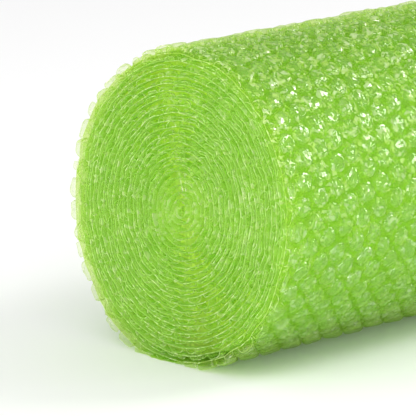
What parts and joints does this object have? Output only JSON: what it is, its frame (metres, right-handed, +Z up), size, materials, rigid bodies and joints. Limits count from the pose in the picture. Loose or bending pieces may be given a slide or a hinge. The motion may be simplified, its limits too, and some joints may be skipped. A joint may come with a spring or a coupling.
{
  "type": "bubble cushioning roll",
  "caption": "Soft roll of translucent green bubble cushioning film, wound on itself without a core, bubbles facing out, lying on its side.",
  "frame": {"origin": "on the floor under the middle of the roll", "axes": "+Y along the roll's axis, +Z up, and the end that the picture shows faces -Y"},
  "size_m": [0.18, 0.312, 0.1752],
  "materials": {
    "film": "thin translucent lime-green polyethylene film, glossy"
  },
  "bodies": {
    "root": {"bubble_roll": "film"}
  },
  "joints": []
}
